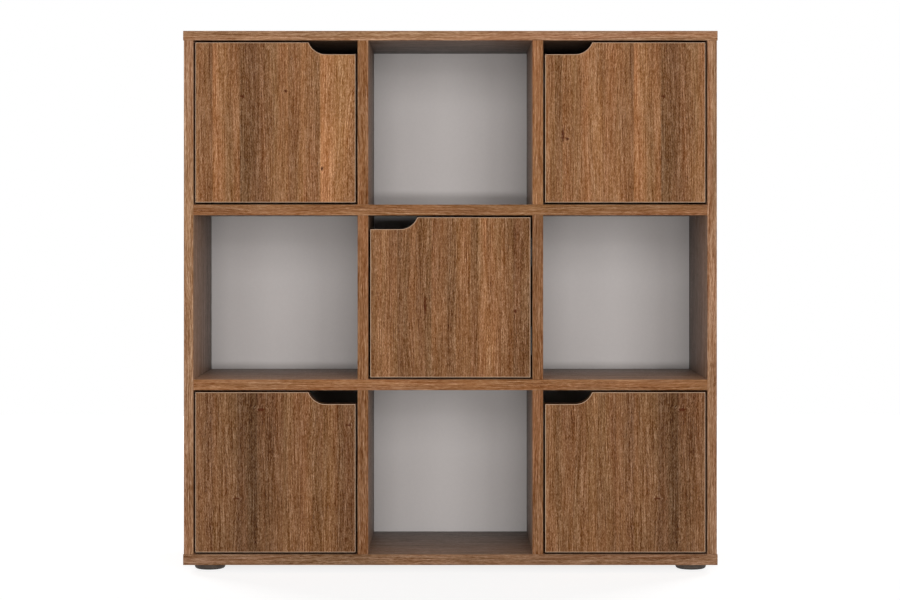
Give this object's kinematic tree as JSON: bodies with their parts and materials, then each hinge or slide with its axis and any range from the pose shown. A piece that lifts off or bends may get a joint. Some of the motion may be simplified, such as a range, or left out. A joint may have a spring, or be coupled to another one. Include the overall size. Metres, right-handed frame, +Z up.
{
  "type": "cube storage unit",
  "caption": "Square wood-effect shelving unit with a grid of open cells and inset hinged doors with finger notches, a pale back panel and round glide feet.",
  "frame": {"origin": "on the floor, under the middle of the unit's box", "axes": "+X to the right as seen from the front, +Y towards the back panel, +Z up"},
  "size_m": [0.9, 0.2908, 0.9115],
  "materials": {
    "walnut_foil_board": "satin walnut-effect foil on particle board",
    "walnut_foil_door": "satin walnut-effect foil on particle board, upright grain",
    "white_hardboard": "white lacquered hardboard",
    "black_plastic": "moulded black polyethylene",
    "beech": "turned beech, unfinished",
    "zinc_plated_steel": "pressed steel, bright zinc plating",
    "zinc_casting": "die-cast zinc, tumbled"
  },
  "bodies": {
    "carcass": {"top_panel": "walnut_foil_board", "bottom_panel": "walnut_foil_board", "left_side": "walnut_foil_board", "right_side": "walnut_foil_board", "lower_shelf": "walnut_foil_board", "upper_shelf": "walnut_foil_board", "divider_bottom_left": "walnut_foil_board", "divider_bottom_right": "walnut_foil_board", "divider_middle_left": "walnut_foil_board", "divider_middle_right": "walnut_foil_board", "divider_top_left": "walnut_foil_board", "divider_top_right": "walnut_foil_board", "back_panel": "white_hardboard", "foot_front_left": "black_plastic", "foot_front_right": "black_plastic", "foot_rear_left": "black_plastic", "foot_rear_right": "black_plastic", "dowels": "beech", "cam_bolts": "zinc_plated_steel", "cam_discs": "zinc_casting", "back_nails": "zinc_plated_steel", "plate_screws": "zinc_plated_steel", "arm_screws": "zinc_plated_steel", "foot_screws": "zinc_plated_steel", "hinge_arms_top_left": "zinc_plated_steel", "hinge_plates_top_left": "zinc_plated_steel", "hinge_arms_top_right": "zinc_plated_steel", "hinge_plates_top_right": "zinc_plated_steel", "hinge_arms_centre": "zinc_plated_steel", "hinge_plates_centre": "zinc_plated_steel", "hinge_arms_bottom_left": "zinc_plated_steel", "hinge_plates_bottom_left": "zinc_plated_steel", "hinge_arms_bottom_right": "zinc_plated_steel", "hinge_plates_bottom_right": "zinc_plated_steel"},
    "top_left_door": {"door_top_left": "walnut_foil_door", "hinge_cups_top_left": "zinc_casting", "hinge_pins_top_left": "zinc_plated_steel"},
    "top_right_door": {"door_top_right": "walnut_foil_door", "hinge_cups_top_right": "zinc_casting", "hinge_pins_top_right": "zinc_plated_steel"},
    "centre_door": {"door_centre": "walnut_foil_door", "hinge_cups_centre": "zinc_casting", "hinge_pins_centre": "zinc_plated_steel"},
    "bottom_left_door": {"door_bottom_left": "walnut_foil_door", "hinge_cups_bottom_left": "zinc_casting", "hinge_pins_bottom_left": "zinc_plated_steel"},
    "bottom_right_door": {"door_bottom_right": "walnut_foil_door", "hinge_cups_bottom_right": "zinc_casting", "hinge_pins_bottom_right": "zinc_plated_steel"}
  },
  "joints": [
    {"name": "top_left_hinge", "type": "hinge", "parent": "carcass", "child": "top_left_door", "pos_m": [-0.41565, -0.1379, 0.75725], "axis": [0, 0, -1], "range_deg": [0, 95]},
    {"name": "top_right_hinge", "type": "hinge", "parent": "carcass", "child": "top_right_door", "pos_m": [0.41565, -0.1379, 0.75725], "axis": [0, 0, 1], "range_deg": [0, 95]},
    {"name": "centre_hinge", "type": "hinge", "parent": "carcass", "child": "centre_door", "pos_m": [0.12115, -0.1379, 0.46275], "axis": [0, 0, 1], "range_deg": [0, 95]},
    {"name": "bottom_left_hinge", "type": "hinge", "parent": "carcass", "child": "bottom_left_door", "pos_m": [-0.41565, -0.1379, 0.16825], "axis": [0, 0, -1], "range_deg": [0, 95]},
    {"name": "bottom_right_hinge", "type": "hinge", "parent": "carcass", "child": "bottom_right_door", "pos_m": [0.41565, -0.1379, 0.16825], "axis": [0, 0, 1], "range_deg": [0, 95]}
  ]
}
